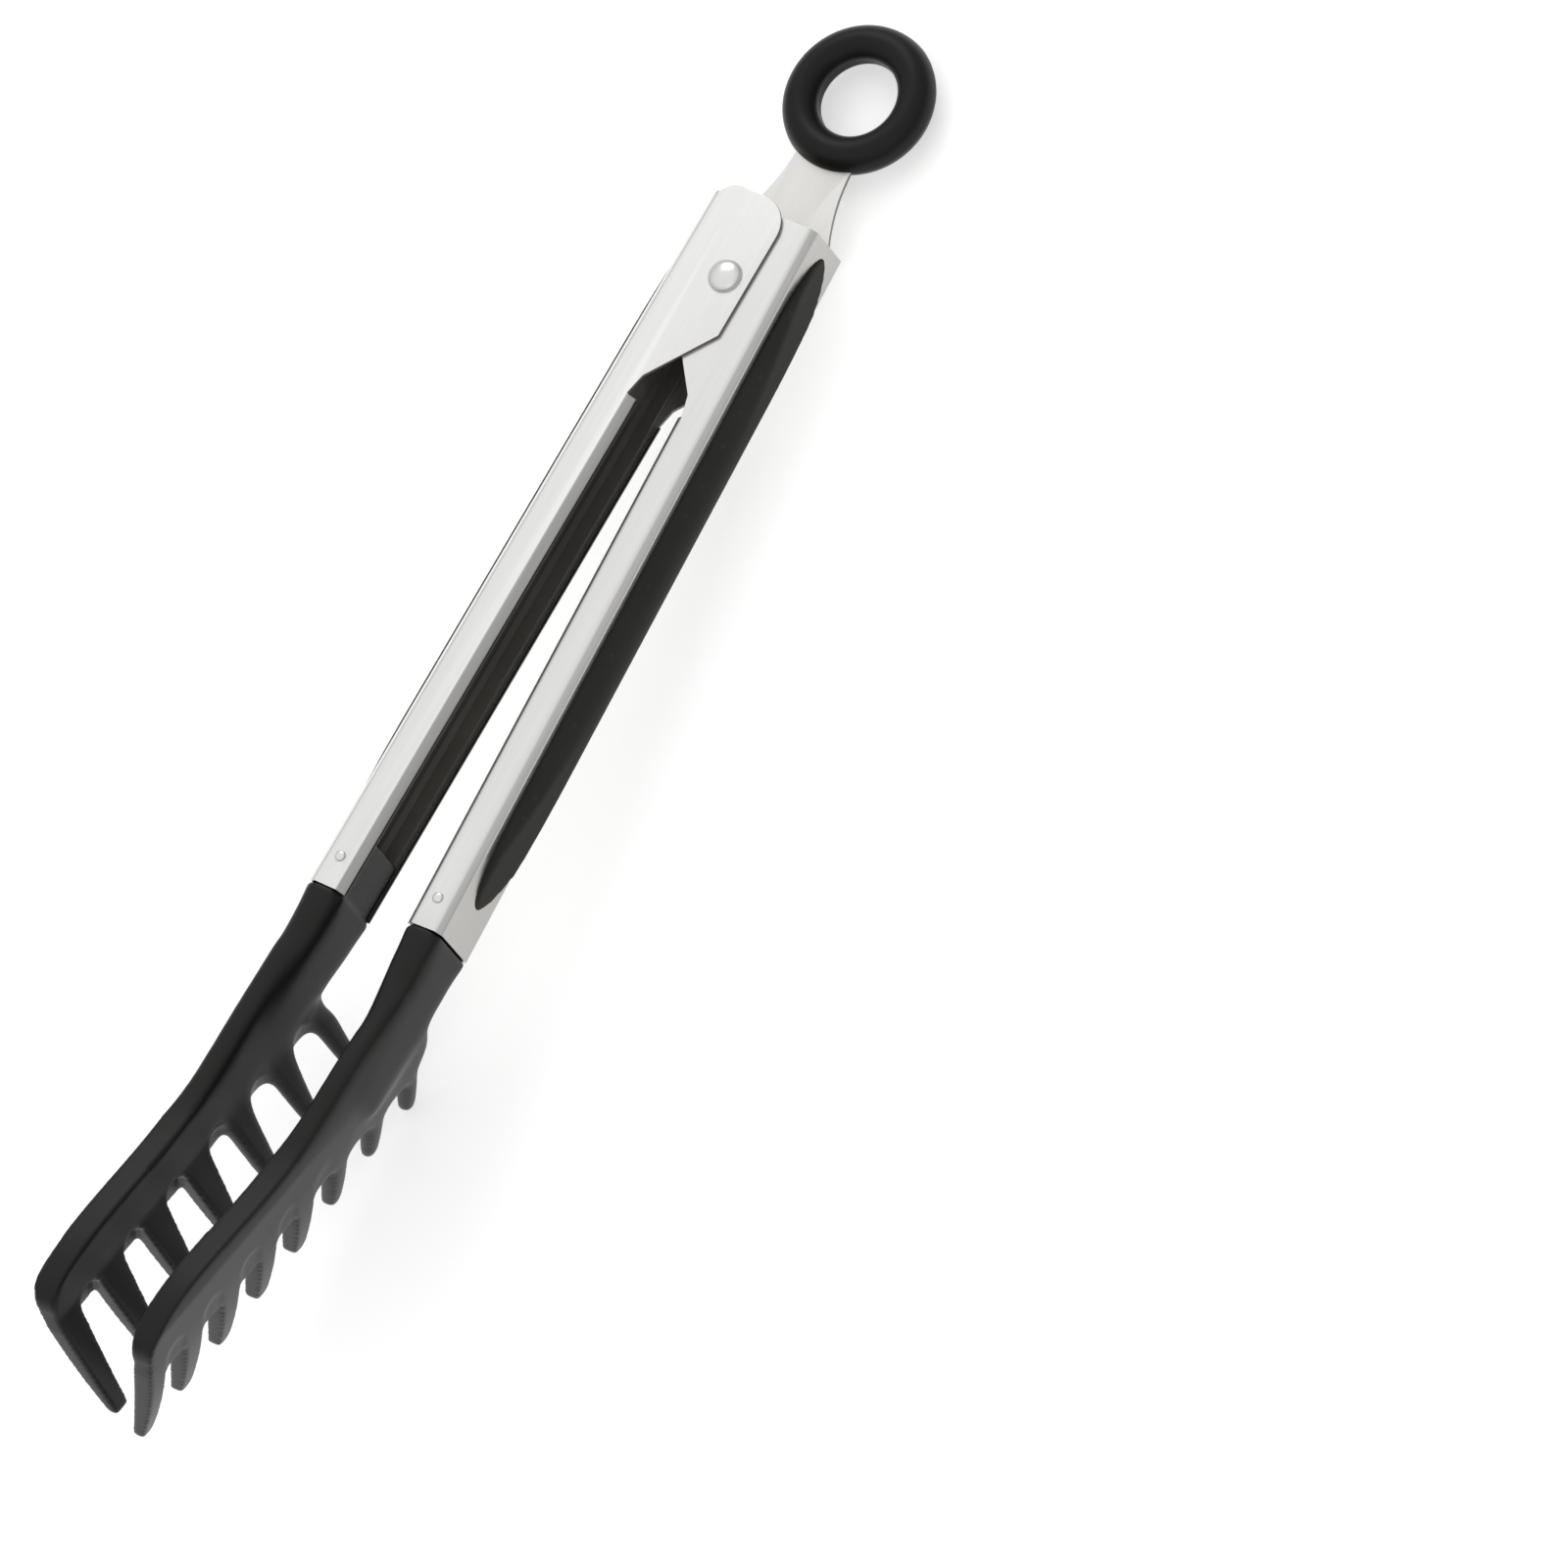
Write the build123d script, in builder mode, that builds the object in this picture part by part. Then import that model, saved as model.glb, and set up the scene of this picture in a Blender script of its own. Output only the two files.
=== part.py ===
from build123d import *
from math import acos, asin, atan2, ceil, cos, degrees, hypot, pi, radians, sin, tan
import os

os.makedirs("parts", exist_ok=True)

# Kitchen tongs lying on their back, in millimetres. The origin is the centre of the hanging ring,
# +Z runs along the pivot pin towards the front and +Y from the heads towards the ring.
# The lock tab is pulled out, so the arms are held nearly shut.

# Whole tool
ring_to_pivot = 52.0    # ring centre to pivot pin, lock pulled out
tab_drop = 3.6          # lock tab's mid-plane behind the arms' mid-plane
rest_angle = 1.3        # each arm away from the centreline
open_travel = 13.0      # further opening of each arm
lock_travel = 16.0      # how far the lock tab pushes in

# Clearances
sheet_gap = 0.15        # between the two arms' cheeks
seat_gap = 0.1          # pieces seated in an arm
pin_gap = 0.05          # running clearance on the pivot pin, radial
slide_gap = 0.2         # lock tab beside its neighbours
wing_gap = 0.3          # lock tab's wings to the spines, over the whole travel

# Arms: folded stainless sheet, an open channel with beaded corners
sheet = 0.7
arm_width = 20.0        # outside of the left arm, along the pin
arm_depth = 9.7         # spine to open edge
spine_reach = 14.25     # pivot pin to the outside of the spine
arm_reach = 161.3       # pivot pin to the arm's lower edge
corner_bevel = 1.65
lip_rise = 1.9
lip_tuck = 2.2
hem = 0.5

# Cheeks: flat ears that carry the pin
cheek_drop = 33.0
cheek_low = 13.0
cheek_reach = 6.1
spine_top = 17.2
cheek_rise = {"left": 20.2, "right": 17.2}
cheek_round = {"left": 7.5, "right": 6.0}
heel_round = {"left": 5.2, "right": 1.0}

# Grip window and pad
window_top = 14.0
window_low = 10.3       # arm's lower edge to the window
window_width = 11.6
window_end = 27.0       # length of each tapering end
pad_rise = 4.2
pad_edge = 0.5          # straight rim before the crown
pad_shoulder = 0.7      # share of the rise reached at the shoulders
pad_end = 22.0          # from the window's end to the shoulder
pad_flange = 0.8
flange_lap = 0.9
flange_top = -4.0
liner_wall = 1.0
liner_top = -8.0

# Pivot stack
pin_radius = 2.0
dome_radius = 4.0
dome_rise = 1.8
tab_thickness = 1.0
bushing_radius = 3.5
spacer_radius = 4.6

# Torsion spring
wire = 1.5
coil_gap = 0.15
coil_clearance = 0.3
leg_drop = 34.0

# Lock tab and ring
ring_radius = 13.45     # centre line of the ring
ring_tube = 4.36
ring_bore = 9.3
eye_inner = 11.3
eye_outer = 15.4
neck_half = 7.4
neck_y = 35.0
wing_top = 17.4
wing_low = 15.6
stem_half = 6.5
stem_low = 13.0

# Heads
joint_gap = 0.35
plug_length = 14.0
head_rivet_up = 7.3
head_rivet_radius = 1.1
head_dome_radius = 1.3
head_dome_rise = 0.6
collar_length = 8.0
neck_length = 40.0
neck_taper = 2.5        # how much the front and the back draw in along it
rail_width = 6.5
rail_offset = 7.2       # pivot line to the rail's inner face at the first slot, in the arm's frame
row_slope = 19.5        # row of fingers against the arm
row_turn = 1.7          # and turned in towards the other head
row_drop = {"left": 26.7, "right": 29.2}    # arm's lower edge to the first slot's closed end
row_z = -9.7
finger_row = 91.0       # first slot to the last finger's centre, along the row
rail_start = 14.7       # arm's lower edge to the curved part of the rail
rail_front = [(30.7, 11.3), (58.2, 13.9), (91.2, 25.2), (109.2, 29.0)]    # front edge: below the arm, z
slot_share = 0.48
finger_first = 22.5     # closed end of a slot to the tip, first finger
finger_last = 31.2      # and last finger
finger_lean = 3.0
finger_tip = 2.3        # half-width of a fingertip
end_trim = 1.0          # last finger's far side
waist_step = 1.6        # hollow between the block and the first finger
plate_thickness = 5.0
rail_lip = 1.65         # rail past the fingers, outside
web_drop = 8.0          # web between the fingers, deeper on the outside
web_inset = 0.25        # and set in from their face
curl = 4.3              # how far the outside has curled in half-way down the last finger
tip_offset = -0.5       # fingertips past the pivot line at the first slot, in the arm's frame
slots = {"left": 6, "right": 7}

side_of = {"left": -1, "right": 1}
half_width = {
    "left": arm_width / 2,
    "right": arm_width / 2 - sheet - sheet_gap,
}
window_bottom = window_low - arm_reach
open_edge = spine_reach - arm_depth
wall_edge = open_edge + lip_rise
spine_inside = spine_reach - sheet
backing = spine_inside - pad_flange - seat_gap
cheek_inside = half_width["right"] - sheet


def arm_frame(name):
    # the arm's own frame: origin on the pin, +Y up the arm, square to the pin
    turn = radians(rest_angle) * side_of[name]
    return Plane(origin=(0, -ring_to_pivot, tab_drop), x_dir=(cos(turn), sin(turn), 0), z_dir=(0, 0, 1))


def across(name, level):
    # plane square to the arm at this height, its x pointing along the arm's x
    frame = arm_frame(name)
    return Plane(origin=frame.from_local_coords((0, level, 0)), x_dir=frame.x_dir, z_dir=frame.y_dir)


def beside(name, reach=0.0):
    # plane along the arm and the pin, seen from the side: x up the arm, y towards the front
    frame = arm_frame(name)
    start = frame.from_local_coords((side_of[name] * reach, 0, 0))
    return Plane(origin=start, x_dir=frame.y_dir, z_dir=frame.x_dir)


def octagon(name, inner, outer, half, inner_cut, outer_cut, tuck):
    # corners of a channel section: cut corners on the spine side and turned-in ones on the open side
    s = side_of[name]
    upper = [(inner, half - tuck), (inner + inner_cut, half), (outer - outer_cut, half), (outer, half - outer_cut)]
    lower = [(u, -v) for u, v in reversed(upper)]
    return [(s * u, v) for u, v in upper + lower]


def window_outline(grow, top, bottom):
    # the grip window seen from the side, with tapering round ends; grow widens it all round
    half = window_width / 2 + grow
    high = top + grow
    low = bottom - grow
    end = window_end + grow
    with BuildLine() as outline:
        Line((low + end, half), (high - end, half))
        Bezier((high - end, half), (high - 0.42 * end, half), (high, 0.72 * half), (high, 0))
        Bezier((high, 0), (high, -0.72 * half), (high - 0.42 * end, -half), (high - end, -half))
        Line((high - end, -half), (low + end, -half))
        Bezier((low + end, -half), (low + 0.42 * end, -half), (low, -0.72 * half), (low, 0))
        Bezier((low, 0), (low, 0.72 * half), (low + 0.42 * end, half), (low + end, half))
    return outline.line


def make_arm(name):
    s = side_of[name]
    half = half_width[name]
    frame = arm_frame(name)
    with BuildPart() as arm:
        # channel with turned-in lips, below the cheeks
        with BuildSketch(across(name, -arm_reach)):
            Polygon(*octagon(name, open_edge, spine_reach, half, lip_rise, corner_bevel, lip_tuck), align=None)
            offset(amount=-sheet, mode=Mode.SUBTRACT)
            with Locations((s * open_edge, 0)):
                Rectangle(3 * sheet, 2 * (half - lip_tuck - hem), mode=Mode.SUBTRACT)
        extrude(amount=arm_reach - cheek_drop)
        # plain channel behind the cheeks
        with BuildSketch(across(name, -cheek_drop)):
            Polygon(*octagon(name, wall_edge, spine_reach, half, sheet, corner_bevel, 0), align=None)
            offset(amount=-sheet, mode=Mode.SUBTRACT)
            with Locations((s * wall_edge, 0)):
                Rectangle(3 * sheet, 2 * (half - sheet), mode=Mode.SUBTRACT)
        extrude(amount=cheek_drop + spine_top)
        # flat cheeks out to the pin
        rise = cheek_rise[name]
        outline = [
            (wall_edge + sheet, -cheek_drop),
            (wall_edge, -cheek_drop),
            (wall_edge - 1.2, -cheek_drop + 5),
            (-cheek_reach, -cheek_low),
            (-cheek_reach, rise),
            (spine_reach - corner_bevel, rise),
            (spine_reach - corner_bevel, -cheek_drop),
        ]
        for level in (half - sheet, -half):
            with BuildSketch(frame.offset(level)) as cheek:
                Polygon(*[(s * u, v) for u, v in outline], align=None)
                top_corners = cheek.vertices().group_by(Axis.Y)[-1].sort_by(Axis.X)
                fillet(top_corners[0 if s > 0 else -1], cheek_round[name])
                top_corners = cheek.vertices().filter_by(lambda v: abs(v.X - s * (spine_reach - corner_bevel)) < 0.01)
                fillet(top_corners.sort_by(Axis.Y)[-1], heel_round[name])
            extrude(amount=sheet)
        # pin hole, head rivet holes and grip window
        with Locations(frame):
            Hole(radius=pin_radius + pin_gap)
        with Locations(frame.offset(0)):
            with Locations((s * head_rivet_u(name), -arm_reach + head_rivet_up, 0)):
                Hole(radius=head_rivet_radius + pin_gap)
        with BuildSketch(beside(name, spine_inside - 1)):
            with BuildLine():
                add(window_outline(0, window_top, window_bottom))
            make_face()
        extrude(amount=s * (sheet + 3), mode=Mode.SUBTRACT)
    return arm.part


def head_rivet_u(name):
    # the head rivet stands in the middle of the flat side wall
    return (wall_edge + spine_reach - corner_bevel) / 2


def make_pad(name):
    s = side_of[name]
    middle = (window_top + window_bottom) / 2
    half = window_width / 2 - seat_gap
    crown = pad_rise - pad_edge
    arc_radius = (half ** 2 + crown ** 2) / (2 * crown)
    with BuildPart() as pad:
        # plug through the window
        with BuildSketch(beside(name, spine_inside)):
            with BuildLine():
                add(window_outline(-seat_gap, window_top, window_bottom))
            make_face()
        extrude(amount=s * (sheet + pad_rise + 1))
        # crowned across
        with BuildSketch(across(name, window_bottom - 5)):
            with Locations((s * (spine_reach + pad_rise - arc_radius), 0)):
                Circle(arc_radius)
            with Locations((s * (spine_reach - 2), 0)):
                Rectangle(4 + 2 * pad_edge, window_width)
        extrude(amount=window_top - window_bottom + 10, mode=Mode.INTERSECT)
        # and along
        with BuildSketch(arm_frame(name)):
            with BuildLine():
                low_end = (s * (spine_reach + 0.2), window_bottom - 1)
                high_end = (s * (spine_reach + 0.2), window_top + 1)
                low_shoulder = (s * (spine_reach + pad_shoulder * pad_rise), window_bottom + pad_end)
                high_shoulder = (s * (spine_reach + pad_shoulder * pad_rise), window_top - pad_end)
                Spline(low_end, low_shoulder, (s * (spine_reach + pad_rise), middle), high_shoulder, high_end)
                Polyline(high_end, (s * (spine_reach - 3), window_top + 1),
                         (s * (spine_reach - 3), window_bottom - 1), low_end)
            make_face()
        extrude(amount=window_width, both=True, mode=Mode.INTERSECT)
        # flange behind the spine
        with BuildSketch(beside(name, spine_inside - pad_flange)):
            with BuildLine():
                add(window_outline(flange_lap, flange_top - flange_lap, window_bottom))
            make_face()
        extrude(amount=s * pad_flange)
    return pad.part


def make_liner(name):
    s = side_of[name]
    half = half_width[name] - sheet - seat_gap
    inner = wall_edge + liner_wall
    low = -arm_reach + plug_length + seat_gap
    with BuildPart() as liner:
        with BuildSketch(across(name, low)):
            Polygon(*octagon(name, inner, backing, half, liner_wall, corner_bevel, 0), align=None)
            offset(amount=-liner_wall, mode=Mode.SUBTRACT)
            with Locations((s * inner, 0)):
                Rectangle(3 * liner_wall, 2 * (half - liner_wall), mode=Mode.SUBTRACT)
        extrude(amount=liner_top - low)
    return liner.part


def row_plane(name):
    # plane square to the row of fingers: x across the arm, y towards the front of the rail
    frame = arm_frame(name)
    slope = radians(row_slope)
    inward = -side_of[name] * tan(radians(row_turn))
    row_y = -arm_reach - row_drop[name]
    start = frame.from_local_coords((0, row_y, row_z))
    ahead = frame.from_local_coords((inward, row_y - cos(slope), row_z + sin(slope)))
    # square to the row, with the front kept in the arm's own side view
    return Plane(origin=start, x_dir=frame.x_dir - (ahead - start) * inward, z_dir=ahead - start)


def row_side(name):
    # plane along the row, seen from the side: x down the row, y towards the front of the rail
    base = row_plane(name)
    return Plane(origin=base.origin, x_dir=base.z_dir, z_dir=-base.x_dir)


def make_head(name):
    s = side_of[name]
    half = half_width[name]
    top = -arm_reach - joint_gap
    pitch = finger_row / (slots[name] - 0.5)
    slot_radius = pitch * slot_share / 2
    with BuildPart() as head:
        # claw: rail at the front, fingers curling in behind it
        outer_root = rail_offset + rail_width - rail_lip
        inner_root = outer_root - plate_thickness
        tip_y = -finger_last
        with BuildSketch(row_plane(name).offset(-40)):
            with BuildLine():
                Polyline((s * rail_offset, 45), (s * (rail_offset + rail_width), 45),
                         (s * (rail_offset + rail_width), 8), (s * outer_root, 0))
                outer_arc = ThreePointArc(
                    (s * outer_root, 0),
                    (s * (outer_root - curl), tip_y / 2),
                    (s * (tip_offset + 1.6), tip_y),
                )
                Line(outer_arc @ 1, (s * (tip_offset - 0.6), tip_y + 1.6))
                inner_arc = ThreePointArc(
                    (s * (tip_offset - 0.6), tip_y + 1.6),
                    (s * (inner_root - curl + 0.5), tip_y / 2 + 1),
                    (s * inner_root, 0),
                )
                Polyline(inner_arc @ 1, (s * rail_offset, 8), (s * rail_offset, 45))
            make_face()
        extrude(amount=finger_row + 50)
        # side outline: curved front edge, round end, fingers with slots between them
        with BuildSketch(row_side(name)):
            with BuildLine():
                front = Spline(
                    *[in_row(name, drop, z) for drop, z in [(rail_start, half - seat_gap)] + rail_front],
                    tangents=((cos(radians(row_slope)), -sin(radians(row_slope))), (1, -0.35)),
                )
                root = pitch * (1 - slot_share) / 2
                here = front @ 1
                back = finger_row + root - end_trim
                ThreePointArc(here, (back - 0.25 * (back - here.X), here.Y - 0.35 * (here.Y - 1)), (back, 1.0))
                Line((back, 1.0), (back, -slot_radius))
                for k in reversed(range(slots[name] + 1)):
                    middle = pitch * (k - 0.5)
                    length = finger_first + (finger_last - finger_first) * k / slots[name]
                    tip = middle - tan(radians(finger_lean)) * (length - slot_radius)
                    end = finger_tip - length
                    far_side = back if k == slots[name] else middle + root
                    near_side = middle - root + (waist_step if k == 0 else 0)
                    near_level = -slot_radius - (waist_step if k == 0 else 0)
                    Line((far_side, -slot_radius), (tip + finger_tip, end))
                    ThreePointArc((tip + finger_tip, end), (tip, -length), (tip - finger_tip, end))
                    Line((tip - finger_tip, end), (near_side, near_level))
                    if k > 0:
                        ThreePointArc((near_side, near_level), (middle - pitch / 2, 0),
                                      (near_side - 2 * slot_radius, -slot_radius))
                waist = in_row(name, rail_start + 1, seat_gap - half)
                ThreePointArc((near_side, near_level), (waist[0] + waist_step / 2, near_level / 2), waist)
                Line(waist, front @ 0)
            make_face()
        extrude(amount=25, both=True, mode=Mode.INTERSECT)
        # sloping web at the closed end of the slots
        web_foot = outer_arc @ (web_drop / outer_arc.length)
        with BuildSketch(row_plane(name).offset(-pitch / 2)):
            Polygon((s * (inner_root + 3 * web_inset), 1.5), (s * (outer_root - web_inset), 1.5),
                    (s * (outer_root - web_inset), 0), (web_foot.X - s * web_inset, web_foot.Y), align=None)
        extrude(amount=finger_row + pitch / 2)
        # collar that meets the arm, drawn down to the rail
        inset = seat_gap
        collar = octagon(name, open_edge + inset, spine_reach - inset, half - inset, lip_rise, corner_bevel, lip_tuck)
        with BuildSketch(across(name, top)):
            Polygon(*collar, align=None)
        extrude(amount=-collar_length)
        neck = octagon(name, rail_offset, rail_offset + rail_width, half - neck_taper, 1.2, 1.2, 1.2)
        with BuildSketch(across(name, top - collar_length)):
            Polygon(*collar, align=None)
        with BuildSketch(across(name, top - neck_length)):
            Polygon(*neck, align=None)
        loft()
        # plug inside the channel, with the rivet's hole
        plug_half = half - sheet - seat_gap
        plug = octagon(name, open_edge + sheet + seat_gap, backing, plug_half, lip_rise, corner_bevel, lip_tuck)
        with BuildSketch(across(name, top - 1)):
            Polygon(*plug, align=None)
        extrude(amount=plug_length + joint_gap + 1)
        with Locations(arm_frame(name)):
            with Locations((s * head_rivet_u(name), -arm_reach + head_rivet_up, 0)):
                Hole(radius=head_rivet_radius + pin_gap)
    return head.part


def in_row(name, drop, z):
    # a point so far below the arm, turned into the row's own view: distance down the row, height in front of it
    slope = radians(row_slope)
    down = drop - row_drop[name]
    front = z - row_z
    return (down * cos(slope) + front * sin(slope), front * cos(slope) - down * sin(slope))


def make_rivet(frame, shank, radius, rise, half):
    # shank with a domed head at each end, turned about the frame's z
    ball = (radius ** 2 + rise ** 2) / (2 * rise)
    turn = asin(radius / ball) / 2
    crown = (ball * sin(turn), half + rise - ball + ball * cos(turn))
    with BuildPart() as rivet:
        with BuildSketch(Plane(origin=frame.origin, x_dir=frame.x_dir, z_dir=-frame.y_dir)):
            with BuildLine():
                ThreePointArc((0, half + rise), crown, (radius, half))
                Polyline((radius, half), (shank, half), (shank, -half), (radius, -half))
                ThreePointArc((radius, -half), (crown[0], -crown[1]), (0, -half - rise))
                Line((0, -half - rise), (0, half + rise))
            make_face()
        revolve(axis=Axis(frame.origin, frame.z_dir))
    return rivet.part


def make_head_rivet(name):
    frame = arm_frame(name)
    place = frame.from_local_coords((side_of[name] * head_rivet_u(name), -arm_reach + head_rivet_up, 0))
    spot = Plane(origin=place, x_dir=frame.x_dir, z_dir=frame.z_dir)
    return make_rivet(spot, head_rivet_radius, head_dome_radius, head_dome_rise, half_width[name] + pin_gap)


# Both arms with what they carry
for name in ("left", "right"):
    pieces = {
        "arm": make_arm(name),
        "grip_pad": make_pad(name),
        "channel_liner": make_liner(name),
        "head": make_head(name),
        "head_rivet": make_head_rivet(name),
    }
    for piece, solid in pieces.items():
        solid.label = name + "_" + piece
        export_step(solid, "parts/" + solid.label + ".step")

# Pivot pin, riveted over at both ends
pivot = Plane(origin=(0, -ring_to_pivot, tab_drop))
pivot_rivet = make_rivet(pivot, pin_radius, dome_radius, dome_rise, arm_width / 2 + pin_gap)
pivot_rivet.label = "pivot_rivet"
export_step(pivot_rivet, "parts/pivot_rivet.step")

# Sleeve that carries the spring, in front of the lock tab
tab_front = -tab_drop + tab_thickness / 2
tab_rear = -tab_drop - tab_thickness / 2
bushing_low = tab_front + slide_gap
bushing_high = cheek_inside - slide_gap
with BuildPart() as spring_bushing:
    with BuildSketch(pivot.offset(bushing_low)):
        Circle(bushing_radius)
        Circle(pin_radius + pin_gap, mode=Mode.SUBTRACT)
    extrude(amount=bushing_high - bushing_low)
spring_bushing.part.label = "spring_bushing"
export_step(spring_bushing.part, "parts/spring_bushing.step")

# Spacer behind the lock tab
spacer_low = -cheek_inside + slide_gap
with BuildPart() as tab_spacer:
    with BuildSketch(pivot.offset(spacer_low)):
        Circle(spacer_radius)
        Circle(pin_radius + pin_gap, mode=Mode.SUBTRACT)
    extrude(amount=tab_rear - slide_gap - spacer_low)
tab_spacer.part.label = "tab_spacer"
export_step(tab_spacer.part, "parts/tab_spacer.step")

# Torsion spring: a coil on the sleeve, one leg down each arm
coil_radius = bushing_radius + coil_clearance + wire / 2
leg_limit = half_width["left"] - sheet - corner_bevel - seat_gap
leg_turn = radians(rest_angle)
leg_reach = (backing - liner_wall - wire / 2 - seat_gap) * cos(leg_turn) + leg_drop * sin(leg_turn)
leg_span = hypot(leg_reach, leg_drop)
leave_angle = degrees(atan2(-leg_drop, leg_reach)) + degrees(acos(coil_radius / leg_span))
coil_pitch = wire + coil_gap
coil_low = bushing_low + wire
part_turn = (180 - 2 * leave_angle) / 360
full_turns = int((leg_limit - wire / 2 - coil_low) / coil_pitch - part_turn)
turns = full_turns + part_turn
leave = radians(leave_angle)
leg_length = (leg_span ** 2 - coil_radius ** 2) ** 0.5


def on_coil(turned, flat):
    # point of the coil's centre line and its direction, so many degrees round; flat where a leg meets it
    angle = radians(leave_angle + turned)
    point = (coil_radius * cos(angle), -ring_to_pivot + coil_radius * sin(angle),
             tab_drop + coil_low + coil_pitch * turned / 360)
    climb = 0 if flat else coil_pitch / (2 * pi * coil_radius)
    return point, (-sin(angle), cos(angle), climb)


bends = ceil(8 * turns)
step = 360 * turns / bends
with BuildPart() as torsion_spring:
    with BuildLine() as winding:
        start, aim = on_coil(0, True)
        Line((start[0] - leg_length * aim[0], start[1] - leg_length * aim[1], start[2]), start)
        for bend in range(bends):
            begin, begin_aim = on_coil(step * bend, bend == 0)
            halfway = on_coil(step * (bend + 0.5), False)[0]
            end, end_aim = on_coil(step * (bend + 1), bend == bends - 1)
            Spline(begin, halfway, end, tangents=(begin_aim, end_aim))
        Line(end, (end[0] + leg_length * end_aim[0], end[1] + leg_length * end_aim[1], end[2]))
    with BuildSketch(Plane(origin=winding.line @ 0, z_dir=winding.line % 0)):
        Circle(wire / 2)
    sweep()
torsion_spring.part.label = "torsion_spring"
export_step(torsion_spring.part, "parts/torsion_spring.step")


def tab_outline(grow):
    # lock tab seen from the front: eye, flared neck, wings, and a stem that straddles the pin
    pin_y = -ring_to_pivot
    widest = wing_half() + grow
    neck_top = pin_y + neck_y + 6
    with BuildSketch() as outline:
        for s in (1, -1):
            with BuildLine():
                ThreePointArc((s * (neck_half + grow), neck_top), (s * (neck_half + 1.7 + grow), pin_y + 25),
                              (s * widest, pin_y + wing_top))
                Polyline((s * widest, pin_y + wing_top), (s * widest, pin_y + wing_low),
                         (s * stem_half, pin_y + stem_low), (s * stem_half, pin_y), (0, pin_y),
                         (0, neck_top), (s * (neck_half + grow), neck_top))
            make_face()
        with Locations((0, pin_y)):
            Circle(stem_half)
        Circle(eye_outer + grow)
        Circle(eye_inner - grow, mode=Mode.SUBTRACT)
    return outline.sketch


def wing_half():
    # widest wing that stays clear of both spines while the arms open and the tab slides in
    steps = 40
    reaches = []
    for step in range(steps + 1):
        turn = radians(rest_angle + open_travel * step / steps)
        level = wing_top - lock_travel * step / steps
        reaches.append((spine_inside - level * sin(turn)) / cos(turn))
    return min(reaches) - wing_gap


# Lock tab: flat plate, slotted for the pin
tab_plane = Plane.XY.offset(-tab_thickness / 2)
with BuildPart() as lock_tab:
    with BuildSketch(tab_plane):
        add(tab_outline(0))
        with Locations((0, -ring_to_pivot + lock_travel / 2)):
            slot_length = lock_travel + 2 * (pin_radius + slide_gap)
            SlotOverall(slot_length, 2 * (pin_radius + slide_gap), rotation=90, mode=Mode.SUBTRACT)
    extrude(amount=tab_thickness)
lock_tab.part.label = "lock_tab"
export_step(lock_tab.part, "parts/lock_tab.step")

# Ring moulded round the tab's eye
with BuildPart() as ring_grip:
    with BuildSketch(Plane.XZ):
        with Locations((ring_radius, 0)):
            Circle(ring_tube)
        Rectangle(2 * ring_bore, 4 * ring_tube, mode=Mode.SUBTRACT)
    revolve(axis=Axis.Z)
    with BuildSketch(Plane.XY.offset(-tab_thickness / 2 - seat_gap / 2)):
        add(tab_outline(seat_gap))
    extrude(amount=tab_thickness + seat_gap, mode=Mode.SUBTRACT)
ring_grip.part.label = "ring_grip"
export_step(ring_grip.part, "parts/ring_grip.step")
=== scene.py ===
import math

import bmesh
import bpy
from mathutils import Matrix, Vector


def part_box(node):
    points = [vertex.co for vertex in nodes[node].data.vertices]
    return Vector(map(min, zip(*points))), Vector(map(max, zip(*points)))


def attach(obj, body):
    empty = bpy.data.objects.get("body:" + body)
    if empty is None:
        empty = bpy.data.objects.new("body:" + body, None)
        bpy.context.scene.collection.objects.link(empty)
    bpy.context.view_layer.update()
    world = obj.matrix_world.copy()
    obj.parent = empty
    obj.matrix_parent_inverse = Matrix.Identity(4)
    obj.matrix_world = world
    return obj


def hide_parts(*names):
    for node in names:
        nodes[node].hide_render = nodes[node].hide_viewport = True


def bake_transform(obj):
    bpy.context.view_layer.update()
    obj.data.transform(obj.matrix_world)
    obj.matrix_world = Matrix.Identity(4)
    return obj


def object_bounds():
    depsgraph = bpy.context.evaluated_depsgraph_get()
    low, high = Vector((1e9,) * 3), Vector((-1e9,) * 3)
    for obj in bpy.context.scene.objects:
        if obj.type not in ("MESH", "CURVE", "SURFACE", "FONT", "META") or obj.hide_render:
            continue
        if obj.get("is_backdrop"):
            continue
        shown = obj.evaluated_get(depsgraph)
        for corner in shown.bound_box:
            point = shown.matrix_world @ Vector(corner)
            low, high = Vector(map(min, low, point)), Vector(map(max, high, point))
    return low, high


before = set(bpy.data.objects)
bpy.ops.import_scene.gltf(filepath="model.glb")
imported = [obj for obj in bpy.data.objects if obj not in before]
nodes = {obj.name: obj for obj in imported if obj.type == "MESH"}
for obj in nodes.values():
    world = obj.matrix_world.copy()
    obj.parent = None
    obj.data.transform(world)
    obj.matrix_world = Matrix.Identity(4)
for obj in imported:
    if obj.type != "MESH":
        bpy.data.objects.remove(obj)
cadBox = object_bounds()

# Lengths are in metres, and +Y runs from the fingertips to the ring
scene = bpy.context.scene
print("frame loaded:", len(nodes), "nodes")


# Helpers for node trees

def feed(tree, node, inputs):
    # plain values go on the node's own sockets, and sockets are linked to them
    for key, value in inputs.items():
        if isinstance(value, bpy.types.NodeSocket):
            tree.links.new(value, node.inputs[key])
        else:
            node.inputs[key].default_value = value
    return node


def addNode(tree, kind, inputs=None, **settings):
    node = tree.nodes.new(kind)
    for key, value in settings.items():
        setattr(node, key, value)
    return feed(tree, node, inputs or {})


def grey(v):
    return (v, v, v, 1)


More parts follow.
